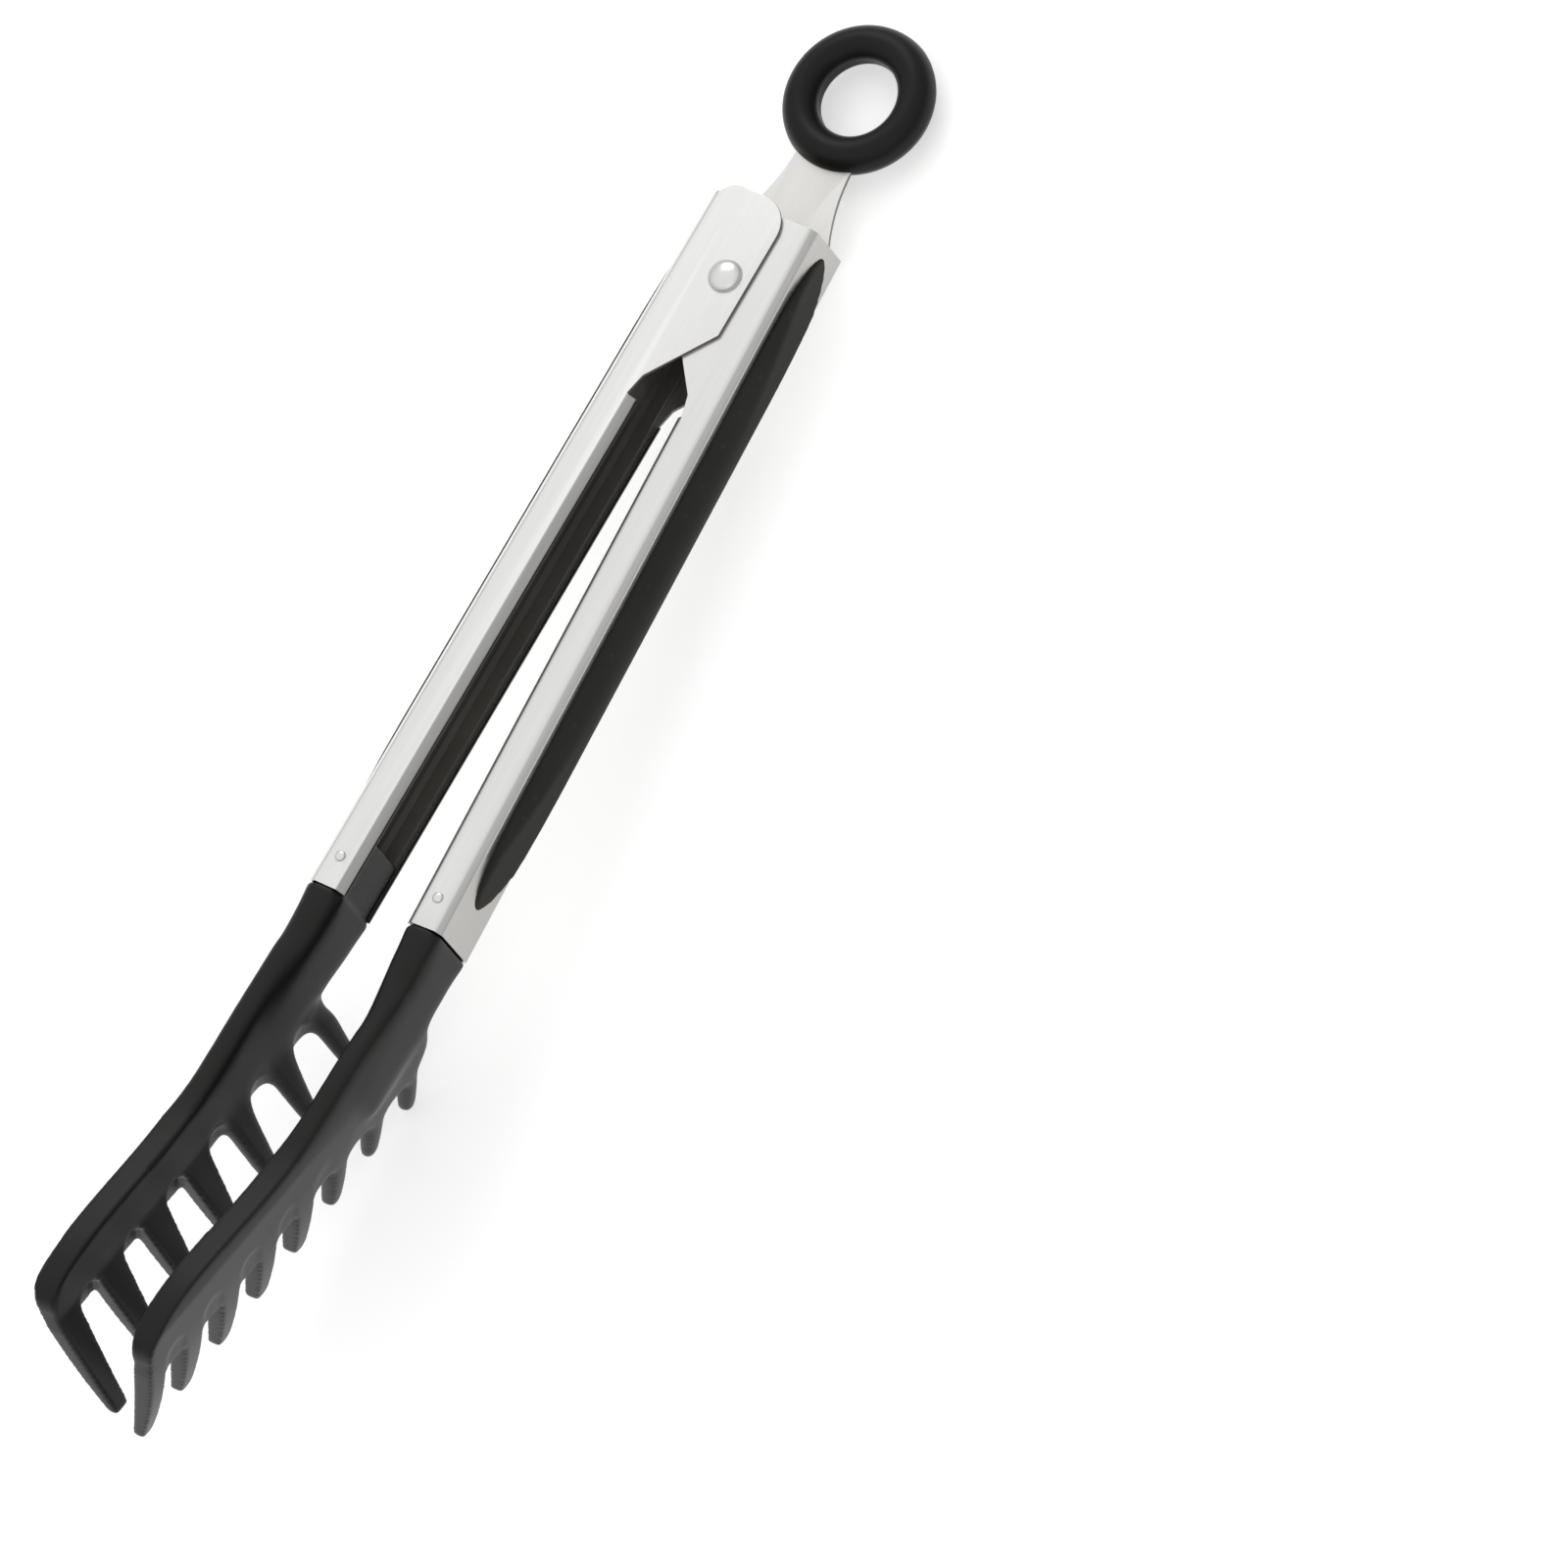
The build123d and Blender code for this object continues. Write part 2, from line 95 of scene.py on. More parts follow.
def ramp(tree, source, stops):
    node = addNode(tree, "ShaderNodeValToRGB", {"Fac": source})
    elements = node.color_ramp.elements
    while len(elements) < len(stops):
        elements.new(0.5)
    for element, (place, colour) in zip(elements, stops):
        element.position = place
        element.color = colour if len(colour) == 4 else (*colour, 1)
    return node.outputs["Color"]


def between(tree, source, ends, low, high):
    return ramp(tree, source, [(ends[0], low), (ends[1], high)])


def noiseAt(tree, coords, scale, stretch=(1, 1, 1), detail=4.0, roughness=0.55):
    mapping = addNode(tree, "ShaderNodeMapping", {
        "Vector": coords, "Scale": [scale * s for s in stretch]})
    noise = addNode(tree, "ShaderNodeTexNoise", {
        "Vector": mapping.outputs["Vector"],
        "Scale": 1.0, "Detail": detail, "Roughness": roughness})
    return noise.outputs["Fac"]


def mixColor(tree, share, a, b):
    # sockets 0, 6 and 7 are the share and the two colours, and output 2 is the colour
    return addNode(tree, "ShaderNodeMix", {0: share, 6: a, 7: b}, data_type="RGBA").outputs[2]


def bumpFrom(tree, height, strength, distance, under=None):
    bump = addNode(tree, "ShaderNodeBump", {
        "Height": height, "Strength": strength, "Distance": distance})
    if under:
        feed(tree, bump, {"Normal": under})
    return bump.outputs["Normal"]


def newShader(name):
    material = bpy.data.materials.new(name)
    material.use_nodes = True
    tree = material.node_tree
    shader = tree.nodes["Principled BSDF"]
    coords = addNode(tree, "ShaderNodeTexCoord").outputs["Object"]
    return material, tree, shader, coords


def onEdges(tree, ends, share):
    # nothing on flat faces, and the share at sharp edges
    pointy = addNode(tree, "ShaderNodeNewGeometry").outputs["Pointiness"]
    return between(tree, pointy, ends, grey(0), grey(share))


# Brushed metal: grain along the part, cloudy haze, paler edges that are partly wear and partly
# painted highlight
steel = {
    "grainDetail": 6.0, "grainRoughness": 0.7,
    "cloudStretch": (1, 0.5, 1), "cloudDetail": 3.0,
    "toneEnds": (0.3, 0.7), "hazeEnds": (0.35, 0.7), "roughEnds": (0.3, 0.7),
    "edgeWearAndHighlightEnds": (0.505, 0.56),      # how sharp an edge is before it turns paler, as wear and painted highlight
    "cloudInGloss": 0.35, "bumpHeight": 0.00002,
}
steelLooks = {
    "stainlessSheet": {
        "grain": 1400, "stretch": (1, 0.012, 1), "cloud": 22,
        "dark": (0.64, 0.635, 0.615), "light": (0.73, 0.727, 0.71),
        "haze": 0.4, "hazeColour": (0.60, 0.595, 0.575, 1),
        # paler edges: partly wear, partly painted highlight along the edges
        "paleEdge": 0.8, "paleEdgeColour": (0.95, 0.95, 0.945, 1),
        "marks": {      # colours of the faces that carry an attribute
            # painted shade: the spine faces get a darker tone than the rest of the sheet
            "spinePaintedShade": (0.475, 0.465, 0.445, 1),
            # sheared edges darker: partly the cut steel's own tone, partly painted shadow under
            # the edges
            "cutEdgeAndPaintedShadow": (0.16, 0.155, 0.145, 1),
        },
        "rough": (0.29, 0.38), "bump": 0.12,
    },
    "tabSteel": {
        "grain": 1300, "stretch": (1, 0.03, 1), "cloud": 60,
        "dark": (0.52, 0.51, 0.485), "light": (0.60, 0.59, 0.565),
        "haze": 0.3, "hazeColour": (0.50, 0.49, 0.47, 1),
        "paleEdge": 0.6, "paleEdgeColour": (0.86, 0.86, 0.84, 1),
        # sheared edges darker: partly the cut steel's own tone, partly painted shadow under the
        # edges
        "marks": {"cutEdgeAndPaintedShadow": (0.22, 0.215, 0.20, 1)},
        "rough": (0.34, 0.44), "bump": 0.15,
    },
    "rivetSteel": {
        "grain": 300, "stretch": (1, 1, 1), "cloud": 120,
        "dark": (0.72, 0.72, 0.71), "light": (0.76, 0.76, 0.75),
        "haze": 0.15, "hazeColour": (0.7, 0.7, 0.69, 1),
        "paleEdge": 0.0, "paleEdgeColour": (0.9, 0.9, 0.9, 1),
        "marks": {},
        "rough": (0.24, 0.28), "bump": 0.008,
    },
    "springWire": {
        "grain": 2500, "stretch": (1, 0.2, 1), "cloud": 200,
        "dark": (0.38, 0.38, 0.39), "light": (0.56, 0.56, 0.57),
        "haze": 0.3, "hazeColour": (0.3, 0.3, 0.3, 1),
        "paleEdge": 0.3, "paleEdgeColour": (0.7, 0.7, 0.7, 1),
        "marks": {},
        "rough": (0.26, 0.4), "bump": 0.2,
    },
}


def brushedSteel(name, look):
    material, tree, shader, coords = newShader(name)
    grain = noiseAt(tree, coords, look["grain"], look["stretch"],
                    steel["grainDetail"], steel["grainRoughness"])
    cloud = noiseAt(tree, coords, look["cloud"], steel["cloudStretch"], steel["cloudDetail"])
    tone = between(tree, grain, steel["toneEnds"], look["dark"], look["light"])
    haze = between(tree, cloud, steel["hazeEnds"], grey(0), grey(look["haze"]))
    tone = mixColor(tree, haze, tone, look["hazeColour"])
    # paler sharp edges: partly wear, partly painted highlight along the edges
    edgeWearAndHighlight = onEdges(tree, steel["edgeWearAndHighlightEnds"], look["paleEdge"])
    tone = mixColor(tree, edgeWearAndHighlight, tone, look["paleEdgeColour"])
    # painted shade on the spine, and sheared edges darkened partly as cut steel and partly as
    # painted shadow
    for mark, colour in look["marks"].items():
        marked = addNode(tree, "ShaderNodeAttribute", attribute_name=mark).outputs["Fac"]
        tone = mixColor(tree, marked, tone, colour)
    low, high = look["rough"]
    gloss = mixColor(tree, steel["cloudInGloss"], grain, cloud)
    feed(tree, shader, {
        "Base Color": tone,
        "Metallic": 1.0,
        "Roughness": between(tree, gloss, steel["roughEnds"], grey(low), grey(high)),
        "Normal": bumpFrom(tree, grain, look["bump"], steel["bumpHeight"]),
    })
    return material


# Moulded plastic and rubber: fine texture, slow changes of tone, scuffed edges
moulding = {
    "fineDetail": 3.0, "fineRoughness": 0.6,
    "cloudStretch": (1, 0.6, 1), "cloudDetail": 3.0,
    "toneEnds": (0.3, 0.7), "roughEnds": (0.3, 0.7),
    "scuffEnds": (0.52, 0.62),      # how sharp an edge is before it is scuffed
    "cloudInGloss": 0.5, "bumpHeight": 0.00003, "rippleHeight": 0.0002,
    "sheenRoughness": 0.4,
}
mouldedLooks = {
    "headNylon": {
        "texture": 2600, "cloud": 45,
        "dark": (0.0062, 0.0061, 0.0056), "light": (0.0095, 0.0094, 0.0088),
        "paleEdge": 0.3, "paleEdgeColour": (0.022, 0.022, 0.021, 1),
        "rough": (0.34, 0.44), "ripple": 0.08, "bump": 0.16,
        "specular": 0.24, "sheen": 0.0,
    },
    "gripRubber": {
        "texture": 3400, "cloud": 60,
        "dark": (0.015, 0.015, 0.014), "light": (0.021, 0.021, 0.020),
        "paleEdge": 0.3, "paleEdgeColour": (0.04, 0.04, 0.038, 1),
        "rough": (0.60, 0.74), "ripple": 0.06, "bump": 0.35,
        "specular": 0.2, "sheen": 0.02,
    },
    "ringSilicone": {
        "texture": 3000, "cloud": 90,
        "dark": (0.0045, 0.0045, 0.0042), "light": (0.0068, 0.0068, 0.0064),
        "paleEdge": 0.2, "paleEdgeColour": (0.02, 0.02, 0.02, 1),
        "rough": (0.33, 0.42), "ripple": 0.06, "bump": 0.1,
        "specular": 0.2, "sheen": 0.0,
    },
    "linerNylon": {
        "texture": 2200, "cloud": 70,
        "dark": (0.088, 0.080, 0.071), "light": (0.120, 0.110, 0.098),
        "paleEdge": 0.2, "paleEdgeColour": (0.14, 0.13, 0.12, 1),
        "rough": (0.34, 0.46), "ripple": 0.1, "bump": 0.2,
        "specular": 0.5, "sheen": 0.0,
    },
    "bushingNylon": {
        "texture": 2400, "cloud": 200,
        "dark": (0.50, 0.49, 0.45), "light": (0.60, 0.59, 0.55),
        "paleEdge": 0.2, "paleEdgeColour": (0.7, 0.7, 0.66, 1),
        "rough": (0.4, 0.5), "ripple": 0.1, "bump": 0.15,
        "specular": 0.5, "sheen": 0.0,
    },
}


def mouldedPlastic(name, look):
    material, tree, shader, coords = newShader(name)
    fine = noiseAt(tree, coords, look["texture"], (1, 1, 1),
                   moulding["fineDetail"], moulding["fineRoughness"])
    slow = noiseAt(tree, coords, look["cloud"], moulding["cloudStretch"], moulding["cloudDetail"])
    tone = between(tree, slow, moulding["toneEnds"], look["dark"], look["light"])
    scuff = onEdges(tree, moulding["scuffEnds"], look["paleEdge"])
    low, high = look["rough"]
    gloss = mixColor(tree, moulding["cloudInGloss"], fine, slow)
    wavy = bumpFrom(tree, slow, look["ripple"], moulding["rippleHeight"])
    feed(tree, shader, {
        "Base Color": mixColor(tree, scuff, tone, look["paleEdgeColour"]),
        "Roughness": between(tree, gloss, moulding["roughEnds"], grey(low), grey(high)),
        "Specular IOR Level": look["specular"],
        "Normal": bumpFrom(tree, fine, look["bump"], moulding["bumpHeight"], wavy),
    })
    if look["sheen"]:
        feed(tree, shader, {
            "Sheen Weight": look["sheen"], "Sheen Roughness": moulding["sheenRoughness"]})
    return material


finishes = {name: brushedSteel(name, look) for name, look in steelLooks.items()}
for name, look in mouldedLooks.items():
    finishes[name] = mouldedPlastic(name, look)
print("finishes made:", len(finishes))


# Helpers for meshes
meshing = {
    "weld": 2e-6,           # points closer than this become one
    "flatAngle": 0.6,       # degrees under which two faces are one flat face
    "madeSharp": 40,        # degrees at which an edge of a rivet or wire stays sharp
    "softFactor": 0.5,
}


def newObject(data, name):
    obj = bpy.data.objects.new(name, data)
    scene.collection.objects.link(obj)
    return obj


def setFinish(obj, finish):
    obj.data.materials.clear()
    obj.data.materials.append(finishes[finish])
    return obj


def settled(obj):
    # what the modifiers make, as a plain mesh
    graph = bpy.context.evaluated_depsgraph_get()
    graph.update()
    mesh = bpy.data.meshes.new_from_object(obj.evaluated_get(graph), depsgraph=graph)
    obj.modifiers.clear()
    old = obj.data
    obj.data = mesh
    mesh.name = obj.name
    if old.users == 0:
        bpy.data.meshes.remove(old)
    return obj


def shadeSmooth(obj, sharpAngle=None):
    for face in obj.data.polygons:
        face.use_smooth = True
    if sharpAngle:
        obj.data.set_sharp_from_angle(angle=math.radians(sharpAngle))
    return obj


def mergedCopy(node, dissolve=True):
    # a CAD node's mesh welded, with its flat faces whole again
    bm = bmesh.new()
    bm.from_mesh(nodes[node].data)
    bmesh.ops.remove_doubles(bm, verts=bm.verts, dist=meshing["weld"])
    if dissolve:
        bmesh.ops.dissolve_limit(bm, angle_limit=math.radians(meshing["flatAngle"]),
                                 verts=bm.verts, edges=bm.edges)
    bmesh.ops.recalc_face_normals(bm, faces=bm.faces)
    mesh = bpy.data.meshes.new(node + "Copy")
    bm.to_mesh(mesh)
    bm.free()
    return mesh


def finishPiece(obj, body, node):
    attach(obj, body)
    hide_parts(node)


# Arms: folded sheet with rounded folds and broken edges
bends = {"fold": 34, "edge": 60, "smooth": 50}      # degrees from which each one counts
arm = {
    "fold": 0.00055,      # rounding of the folds
    "edge": 0.00014,      # broken sheet edges
    "segments": 3,
    "sheet": 0.00085,     # faces narrower than this are sheared edges
    "spine": 0.9,         # faces turned this far sideways are the spine, which gets painted shade
    "flatWeight": 100,    # faces narrower than this are sheared edges, darkened partly as cut steel and partly as painted shadow
}


def foldedSheet(node, name, finish, look):
    obj = setFinish(newObject(mergedCopy(node), name), finish)
    bm = bmesh.new()
    bm.from_mesh(obj.data)
    weight = bm.edges.layers.float.new("bevel_weight_edge")
    cutEdgeAndPaintedShadow = bm.faces.layers.float.new("cutEdgeAndPaintedShadow")
    spinePaintedShade = bm.faces.layers.float.new("spinePaintedShade")
    for face in bm.faces:
        # painted shade: faces turned sideways, the spine, are marked for a darker tone
        if abs(face.normal.x) > look["spine"]:
            face[spinePaintedShade] = 1.0
        # narrow faces are the sheared edges, marked for a darker tone that is partly cut steel
        # and partly painted shadow
        longest = max(edge.calc_length() for edge in face.edges)
        if face.calc_area() < look["sheet"] * longest:
            face[cutEdgeAndPaintedShadow] = 1.0
    for edge in bm.edges:
        if len(edge.link_faces) == 2:
            bend = math.degrees(edge.calc_face_angle(0))
            if bend > bends["edge"]:
                edge[weight] = look["edge"] / look["fold"]
            elif bend > bends["fold"]:
                edge[weight] = 1.0
    bm.to_mesh(obj.data)
    bm.free()
    bevel = obj.modifiers.new("broken edges", "BEVEL")
    bevel.limit_method = "WEIGHT"
    bevel.width = look["fold"]
    bevel.segments = look["segments"]
    bevel.use_clamp_overlap = False
    shadeSmooth(settled(obj), bends["smooth"])
    flatter = obj.modifiers.new("flat faces stay flat", "WEIGHTED_NORMAL")
    flatter.keep_sharp = True
    flatter.weight = look["flatWeight"]
    return settled(obj)


for side in ("left", "right"):
    sheet = foldedSheet(side + "_arm", side + "_arm_sheet", "stainlessSheet", arm)
    finishPiece(sheet, side + "_arm", side + "_arm")
    print(side, "arm:", len(sheet.data.polygons), "faces")

# Lock tab: stamped plate without a spine
tab = {
    "fold": 0.0002, "edge": 0.00014, "segments": 2, "sheet": 0.0011, "spine": 1.0,
    "flatWeight": 100,
}
plate = foldedSheet("lock_tab", "lock_tab_plate", "tabSteel", tab)
finishPiece(plate, "lock", "lock_tab")
print("lock tab:", len(plate.data.polygons), "faces")

# Heads and grips: moulded, so every edge is soft
head = {
    "voxel": 0.00042, "rounds": 18,
    "armEnd": -0.2133,      # where the arm stops, along Y
    # distances below that where the neck's smoothing starts, is full, eases and ends
    "neck": (0.001, 0.006, 0.046, 0.062),
    "neckRounds": 220,
}


def soften(obj, rounds, group=""):
    # an empty group name smooths the whole piece
    smooth = obj.modifiers.new("soft edges", "SMOOTH")
    smooth.factor = meshing["softFactor"]
    smooth.iterations = rounds
    smooth.vertex_group = group


def markNeck(obj, look):
    # the neck gets longer smoothing, so that the collar runs into the rail
    group = obj.vertex_groups.new(name="neck")
    near, full, end, last = look["neck"]
    for vert in obj.data.vertices:
        down = look["armEnd"] - vert.co.y
        share = min((down - near) / (full - near), (last - down) / (last - end), 1.0)
        if share > 0:
            group.add([vert.index], share, "REPLACE")


def mouldedCopy(node, name, finish, look):
    obj = newObject(mergedCopy(node, dissolve=False), name)
    remesh = obj.modifiers.new("even skin", "REMESH")
    remesh.mode = "VOXEL"
    remesh.voxel_size = look["voxel"]
    settled(obj)
    if "neck" in look:
        markNeck(obj, look)
        soften(obj, look["neckRounds"], "neck")
    soften(obj, look["rounds"])
    return shadeSmooth(setFinish(settled(obj), finish))


for side in ("left", "right"):
    claw = mouldedCopy(side + "_head", side + "_claw", "headNylon", head)
    finishPiece(claw, side + "_arm", side + "_head")
    print(side, "claw:", len(claw.data.polygons), "faces")

grip = {"voxel": 0.0004, "rounds": 14}
for side in ("left", "right"):
    pad = mouldedCopy(side + "_grip_pad", side + "_grip", "gripRubber", grip)
    finishPiece(pad, side + "_arm", side + "_grip_pad")
    print(side, "grip:", len(pad.data.polygons), "faces")

# Ring: round section with a flat land inside and a fine parting line
ring = {
    "radius": 0.01345, "tube": 0.00435, "bore": 0.0093,
    "crown": 0.00015,                           # how far the land rises in its middle
    "seam": 0.00008, "seamWidth": 0.0004,       # parting line round the outside
    "around": 144, "section": 56,
}


def ringMesh(look):
    bm = bmesh.new()
    rings = []
    for i in range(look["around"]):
        a = 2 * math.pi * i / look["around"]
        row = []
        for j in range(look["section"]):
            b = 2 * math.pi * j / look["section"]
            height = look["tube"] * math.sin(b)
            outside = math.cos(b) > 0
            ridge = math.exp(-(height / look["seamWidth"]) ** 2) if outside else 0
            tube = look["tube"] - look["seam"] * (1 - ridge)
            land = look["bore"] + look["crown"] * math.cos(b) ** 2
            r = max(look["radius"] + tube * math.cos(b), land)
            row.append(bm.verts.new((r * math.cos(a), r * math.sin(a), height)))
        rings.append(row)
    for i in range(look["around"]):
        this, other = rings[i], rings[(i + 1) % look["around"]]
        for j in range(look["section"]):
            k = (j + 1) % look["section"]
            bm.faces.new((this[j], other[j], other[k], this[k]))
    bmesh.ops.recalc_face_normals(bm, faces=bm.faces)
    mesh = bpy.data.meshes.new("ring_loop")
    bm.to_mesh(mesh)
    bm.free()
    return mesh


loop = shadeSmooth(setFinish(newObject(ringMesh(ring), "ring_loop"), "ringSilicone"))
finishPiece(loop, "lock", "ring_grip")
print("ring:", len(loop.data.polygons), "faces")


# Helpers for the trees that make rivets and wire

def newTree(name, sizes):
    # geometry in and out, named sizes and a finish
    tree = bpy.data.node_groups.new(name, "GeometryNodeTree")
    face = tree.interface
    face.new_socket("Geometry", in_out="OUTPUT", socket_type="NodeSocketGeometry")
    face.new_socket("Geometry", in_out="INPUT", socket_type="NodeSocketGeometry")
    for label, kind in sizes.items():
        face.new_socket(label, in_out="INPUT", socket_type=kind)
    face.new_socket("Finish", in_out="INPUT", socket_type="NodeSocketMaterial")
    return tree, addNode(tree, "NodeGroupInput").outputs


def endTree(tree, made, finish):
    # every tree ends as real geometry with its finish on it
    real = addNode(tree, "GeometryNodeRealizeInstances", {"Geometry": made})
    painted = addNode(tree, "GeometryNodeSetMaterial", {
        "Geometry": real.outputs["Geometry"], "Material": finish})
    addNode(tree, "NodeGroupOutput", {"Geometry": painted.outputs["Geometry"]})
    return tree


def grown(name, points, edges, tree, sizes, finish):
    # the plain mesh that a tree makes on points or along a path
    mesh = bpy.data.meshes.new(name)
    mesh.from_pydata(points, edges, [])
    obj = newObject(mesh, name)
    modifier = obj.modifiers.new("made by nodes", "NODES")
    modifier.node_group = tree
    values = dict(sizes, Finish=finishes[finish])
    for item in tree.interface.items_tree:
        if item.in_out == "INPUT" and item.name in values:
            modifier[item.identifier] = values[item.name]
    return shadeSmooth(settled(obj), meshing["madeSharp"])


# Rivets: a shank with a domed head at each end
dome = {"segments": 40, "rings": 24, "shankSides": 32}
rivetSizes = ("Head Radius", "Head Rise", "Shank Radius", "Reach")
pivotRivet = {
    "Head Radius": 0.0040, "Head Rise": 0.0018, "Shank Radius": 0.0020,
    "Reach": 0.01005,       # from the middle to under the head
}
headRivet = {"Head Radius": 0.0013, "Head Rise": 0.0006, "Shank Radius": 0.0011}


def rivetTree(look):
    tree, given = newTree("domedRivets", dict.fromkeys(rivetSizes, "NodeSocketFloat"))
    ball = addNode(tree, "GeometryNodeMeshUVSphere", {
        "Segments": look["segments"], "Rings": look["rings"], "Radius": 1.0})
    size = addNode(tree, "ShaderNodeCombineXYZ", {
        "X": given["Head Radius"], "Y": given["Head Radius"], "Z": given["Head Rise"]})
    scaled = addNode(tree, "GeometryNodeTransform", {
        "Geometry": ball.outputs["Mesh"], "Scale": size.outputs[0]})
    # the lower half is pressed flat, so the dome is closed underneath
    where = addNode(tree, "ShaderNodeSeparateXYZ", {
        0: addNode(tree, "GeometryNodeInputPosition").outputs[0]})
    flat = addNode(tree, "ShaderNodeMath", {0: where.outputs["Z"], 1: 0.0}, operation="MAXIMUM")
    joined = addNode(tree, "ShaderNodeCombineXYZ", {
        "X": where.outputs["X"], "Y": where.outputs["Y"], "Z": flat.outputs[0]})
    pressed = addNode(tree, "GeometryNodeSetPosition", {
        "Geometry": scaled.outputs["Geometry"], "Position": joined.outputs[0]})
    lift = addNode(tree, "ShaderNodeCombineXYZ", {"Z": given["Reach"]})
    top = addNode(tree, "GeometryNodeTransform", {
        "Geometry": pressed.outputs["Geometry"], "Translation": lift.outputs[0]})
    under = addNode(tree, "GeometryNodeTransform", {
        "Geometry": top.outputs["Geometry"], "Rotation": (math.pi, 0, 0)})
    length = addNode(tree, "ShaderNodeMath", {0: given["Reach"], 1: 2.0}, operation="MULTIPLY")
    shank = addNode(tree, "GeometryNodeMeshCylinder", {
        "Vertices": look["shankSides"], "Radius": given["Shank Radius"],
        "Depth": length.outputs[0]})
    whole = addNode(tree, "GeometryNodeJoinGeometry")
    for made in (top.outputs["Geometry"], under.outputs["Geometry"], shank.outputs["Mesh"]):
        feed(tree, whole, {"Geometry": made})
    spread = addNode(tree, "GeometryNodeInstanceOnPoints", {
        "Points": given["Geometry"], "Instance": whole.outputs["Geometry"]})
    return endTree(tree, spread.outputs["Instances"], given["Finish"])


def rivet(name, node, body, look):
    low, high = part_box(node)
    sizes = {"Reach": (high.z - low.z) / 2 - look["Head Rise"], **look}
    obj = grown(name, [(low + high) / 2], [], rivetNodes, sizes, "rivetSteel")
    finishPiece(obj, body, node)


rivetNodes = rivetTree(dome)
rivet("pivot_pin", "pivot_rivet", "pivot", pivotRivet)
for side in ("left", "right"):
    rivet(side + "_claw_rivet", side + "_head_rivet", side + "_arm", headRivet)
print("rivets made")

# Torsion spring: made in two halves, one for each leg
spring = {
    "coilRadius": 0.00455, "wire": 0.00075, "turns": 4, "perTurn": 40, "sides": 20,
    "pivotY": -0.052,
    "endIn": 0.94, "endUp": 0.36,       # the legs' ends inside the CAD box, in wire radii
    "legSteps": (0.25, 0.5, 0.75, 1),
}


def wireTree():
    tree, given = newTree("wireAlongPath", {
        "Wire Radius": "NodeSocketFloat", "Sides": "NodeSocketInt"})
    path = addNode(tree, "GeometryNodeMeshToCurve", {"Mesh": given["Geometry"]})
    circle = addNode(tree, "GeometryNodeCurvePrimitiveCircle", {
        "Radius": given["Wire Radius"], "Resolution": given["Sides"]})
    swept = addNode(tree, "GeometryNodeCurveToMesh", {
        "Curve": path.outputs["Curve"], "Profile Curve": circle.outputs["Curve"],
        "Fill Caps": True})
    return endTree(tree, swept.outputs["Mesh"], given["Finish"])


def springPoints(look):
    # centre line: right leg from its end inwards, coil, left leg outwards
    low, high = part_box("torsion_spring")
    radius, wire = look["coilRadius"], look["wire"]
    reach = high.x - wire * look["endIn"]
    drop = look["pivotY"] - low.y - wire * look["endUp"]
    span = math.hypot(reach, drop)
    leave = math.atan2(-drop, reach) + math.acos(radius / span)
    legLength = math.sqrt(span ** 2 - radius ** 2)
    bottom, top = low.z + wire, high.z - wire
    turns = look["turns"] + (math.pi - 2 * leave) / (2 * math.pi)
    count = int(look["perTurn"] * turns)
    coil = []
    for i in range(count + 1):
        a = leave + 2 * math.pi * turns * (i / count)
        coil.append(Vector((radius * math.cos(a), look["pivotY"] + radius * math.sin(a),
                            bottom + (top - bottom) * (i / count))))

    def leg(start, angle, length):
        # points along the tangent at the coil's end
        along = Vector((-math.sin(angle), math.cos(angle), 0)) * length
        return [start + along * step for step in look["legSteps"]]

    first = leg(coil[0], leave, -legLength)[::-1]
    last = leg(coil[-1], leave + 2 * math.pi * turns, legLength)
    return first, coil, last


wireNodes = wireTree()
wireSizes = {"Wire Radius": spring["wire"], "Sides": spring["sides"]}
first, coil, last = springPoints(spring)
half = len(coil) // 2
halves = {
    "right": (first + coil[:half + 1], coil[0], first[0]),      # points, root, end of the leg
    "left": (coil[half:] + last, coil[-1], last[-1]),
}
for side, (points, root, legEnd) in halves.items():
    edges = [(i, i + 1) for i in range(len(points) - 1)]
    wire = grown("spring_" + side, points, edges, wireNodes, wireSizes, "springWire")
    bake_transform(wire)
    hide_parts("torsion_spring")
print("spring made")

# CAD pieces that keep their shape
plainPieces = {
    "spring_bushing": "bushingNylon", "tab_spacer": "bushingNylon",
    "left_channel_liner": "linerNylon", "right_channel_liner": "linerNylon",
}
for node, finish in plainPieces.items():
    setFinish(nodes[node], finish)
print("plain pieces:", len(plainPieces))

# Floor: pale paper that the ring and the fingertips rest on
floor = {
    "half": 5.0,                            # half its side
    "ringEnd": -0.02, "headEnd": -0.45,     # it slopes between these, along Y
    "soft": 0.02,                           # how gently the slope starts and ends
    "clear": 0.00005,                       # gap left under the tool
    "steps": (0.4, 0.2, 0.1, 0.05, 0.03, 0.01, -0.01, -0.03, -0.06, -0.1,
              -0.2, -0.3, -0.36, -0.4, -0.44, -0.48, -0.52, -0.6),
    "dark": (0.92, 0.92, 0.915), "light": (0.94, 0.94, 0.935), "cloud": 6.0,
    "toneEnds": (0.3, 0.7), "rough": 0.85, "specular": 0.1, "glow": 0.41,
}


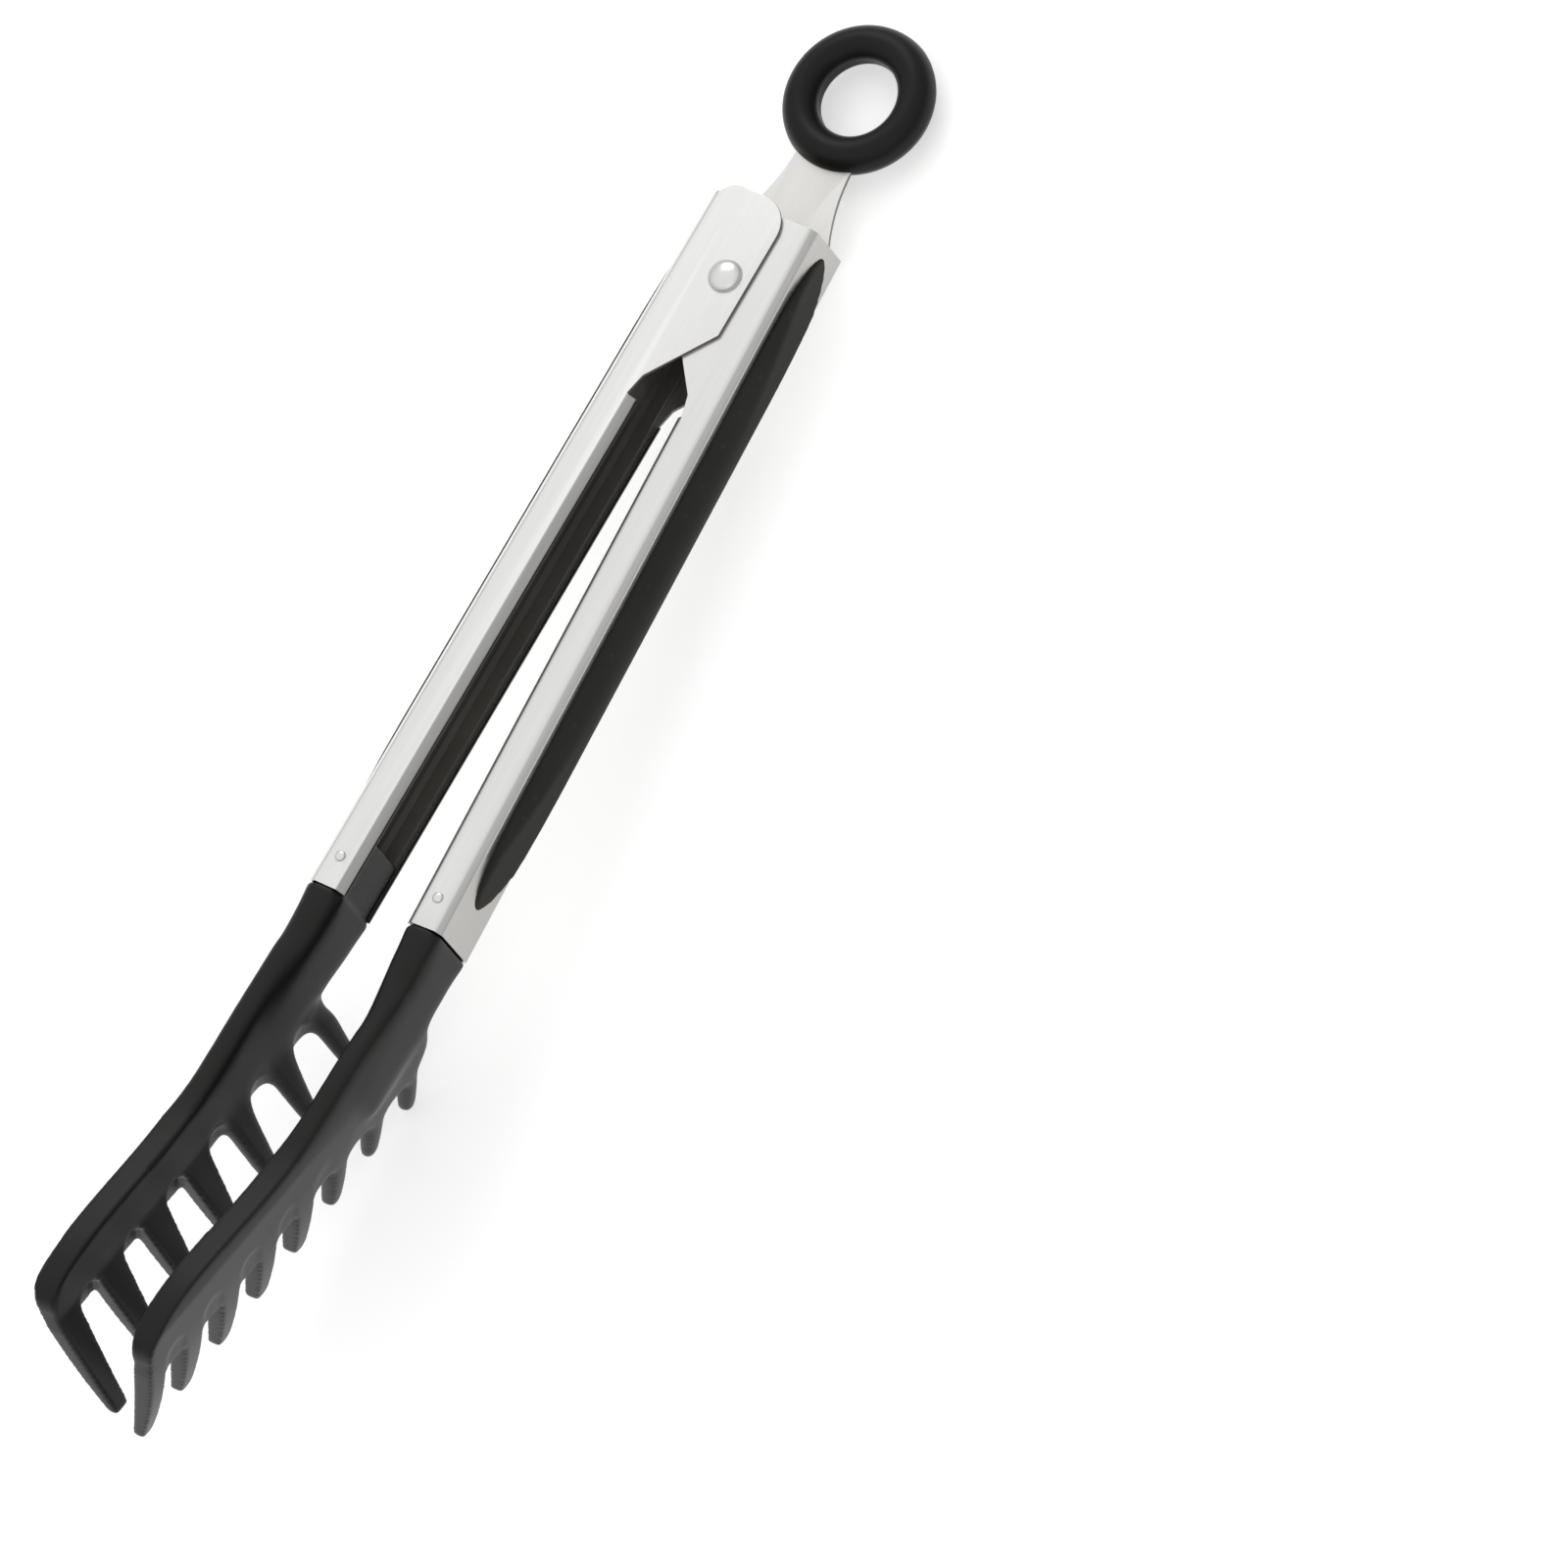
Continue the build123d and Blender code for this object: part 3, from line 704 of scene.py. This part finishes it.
def floorMesh(look):
    # level beyond the ring, falling towards the fingertips, level again
    points = [v.co for n in nodes for v in nodes[n].data.vertices]
    tip = min(points, key=lambda p: p.z)
    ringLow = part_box("ring_grip")[0].z
    slope = (ringLow - tip.z) / -tip.y

    def eased(run):
        return look["soft"] * math.log1p(math.exp(run / look["soft"]))

    def levelAt(y):
        return ringLow - slope * (eased(look["ringEnd"] - y) - eased(look["headEnd"] - y))

    levels = [(y, levelAt(y)) for y in (look["half"], *look["steps"], -look["half"])]

    def heightAt(y):
        for (ya, za), (yb, zb) in zip(levels, levels[1:]):
            if yb <= y <= ya:
                return za + (zb - za) * (ya - y) / (ya - yb)

    # lowered until the tool just rests on it
    drop = min(p.z - heightAt(p.y) for p in points) - look["clear"]
    verts = [(x, y, z + drop) for y, z in levels for x in (-look["half"], look["half"])]
    faces = [(2 * i, 2 * i + 2, 2 * i + 3, 2 * i + 1) for i in range(len(levels) - 1)]
    mesh = bpy.data.meshes.new("floor")
    mesh.from_pydata(verts, [], faces)
    return mesh


def paperFinish(look):
    material, tree, shader, coords = newShader("paleFloor")
    cloud = noiseAt(tree, coords, look["cloud"])
    feed(tree, shader, {
        "Base Color": between(tree, cloud, look["toneEnds"], look["dark"], look["light"]),
        "Roughness": look["rough"],
        "Specular IOR Level": look["specular"],
        "Emission Color": (1, 1, 1, 1),
        "Emission Strength": look["glow"],
    })
    return material


finishes["paleFloor"] = paperFinish(floor)
ground = shadeSmooth(setFinish(newObject(floorMesh(floor), "floor"), "paleFloor"))
ground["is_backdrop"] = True
print("floor laid")

# Studio: bright overhead, darker low down on the right
studio = {
    "lean": -0.22,      # how far the bright part leans away from +X
    "sky": [(0.1, grey(0.34)), (0.5, grey(0.74)), (0.9, grey(0.97))],
    "softBoxes": {
        "keySoftBox": {
            "at": (-0.34, 0.44, 0.52), "towards": (0, -0.1, 0), "size": (0.42, 0.34),
            "watts": 0.85},
        "fillSoftBox": {
            "at": (0.9, -0.9, 1.4), "towards": (0, -0.2, 0), "size": (1.2, 1.2),
            "watts": 0.9},
    },
}


def makeSky(look):
    world = bpy.data.worlds.new("studio")
    scene.world = world
    world.use_nodes = True
    sky = world.node_tree
    direction = addNode(sky, "ShaderNodeTexCoord").outputs["Generated"]
    split = addNode(sky, "ShaderNodeSeparateXYZ", {0: direction})
    lean = addNode(sky, "ShaderNodeMath", {
        0: split.outputs["X"], 1: look["lean"], 2: split.outputs["Z"]}, operation="MULTIPLY_ADD")
    feed(sky, sky.nodes["Background"], {
        "Color": ramp(sky, lean.outputs[0], look["sky"]), "Strength": 1.0})


def softBox(name, look):
    light = bpy.data.lights.new(name, "AREA")
    light.shape = "RECTANGLE"
    light.size, light.size_y = look["size"]
    light.energy = look["watts"]
    at = Vector(look["at"])
    turn = (Vector(look["towards"]) - at).to_track_quat("-Z", "Y").to_matrix().to_4x4()
    newObject(light, name).matrix_world = Matrix.Translation(at) @ turn


makeSky(studio)
for name, look in studio["softBoxes"].items():
    softBox(name, look)
print("lights set:", len(studio["softBoxes"]))

# Camera: far away with a long lens, by its place and its three axes
camera = {
    "place": (3.7609, -1.7723, 6.5849),
    "right": (0.81140602, 0.47719196, -0.33750276),
    "down": (0.33597012, -0.85330016, -0.3987517),
    "ahead": (-0.47827226, 0.21015868, -0.85269512),
    "lens": 814.455, "sensor": 36.0, "clip": (0.1, 100),
}
lensData = bpy.data.cameras.new("camera")
lensData.sensor_width = camera["sensor"]
lensData.lens = camera["lens"]
lensData.clip_start, lensData.clip_end = camera["clip"]
axes = (Vector(camera["right"]), -Vector(camera["down"]), -Vector(camera["ahead"]))
rows = [[*(axis[i] for axis in axes), camera["place"][i]] for i in range(3)]
eye = newObject(lensData, "camera")
eye.matrix_world = Matrix([*rows, [0, 0, 0, 1]])
scene.camera = eye
scene.view_settings.view_transform = "Standard"
print("camera placed")

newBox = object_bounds()
over = zip([*newBox[0], *newBox[1]], [*cadBox[0], *cadBox[1]])
print("visual box less CAD box, mm:", [round((n - c) * 1000, 3) for n, c in over])
